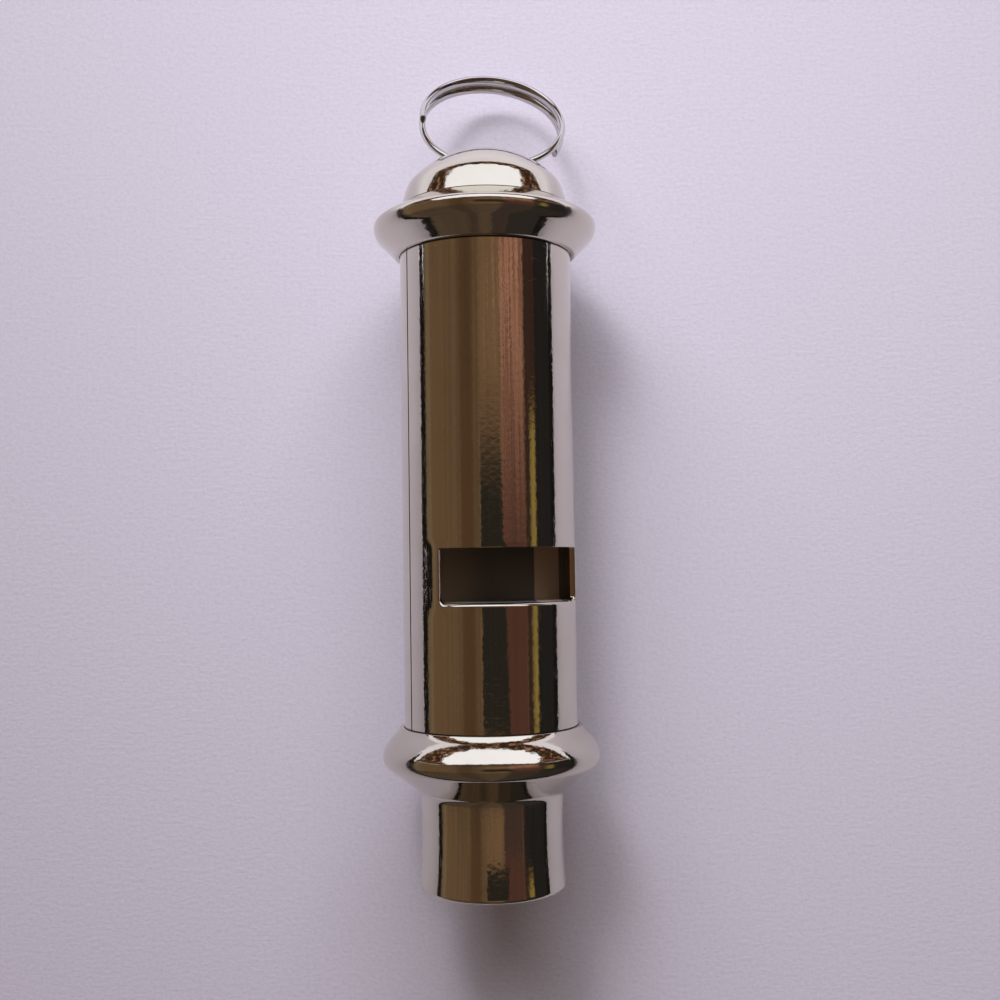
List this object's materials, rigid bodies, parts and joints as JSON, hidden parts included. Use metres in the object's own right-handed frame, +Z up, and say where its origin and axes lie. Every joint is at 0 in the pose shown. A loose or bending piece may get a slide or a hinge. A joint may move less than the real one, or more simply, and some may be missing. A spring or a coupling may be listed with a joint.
{
  "type": "whistle",
  "caption": "Tubular whistle with a divided chamber, opposed sound windows, a beaded mouthpiece and a domed cap that carries a swinging split ring.",
  "frame": {"origin": "middle of the footprint, on the surface that the whistle lies on", "axes": "+Y along the tube from the mouthpiece to the ring, +Z up, +X to the side that the front window is turned to"},
  "size_m": [0.0246, 0.093, 0.0247],
  "materials": {
    "nickel_plate": "polished",
    "brass": "satin",
    "spring_wire": "polished"
  },
  "bodies": {
    "whistle": {"body_tube": "nickel_plate", "mouthpiece": "nickel_plate", "top_cap": "nickel_plate", "end_disc": "brass", "divider_plate": "brass", "front_windway_plug": "brass", "rear_windway_plug": "brass", "pitch_stop": "brass"},
    "ring": {"split_ring": "spring_wire"}
  },
  "joints": [
    {"name": "ring_swing", "type": "hinge", "parent": "whistle", "child": "ring", "pos_m": [0, 0.03355, 0.01235], "axis": [0.9833, -0.1822, 0], "range_deg": [0, 70]}
  ]
}
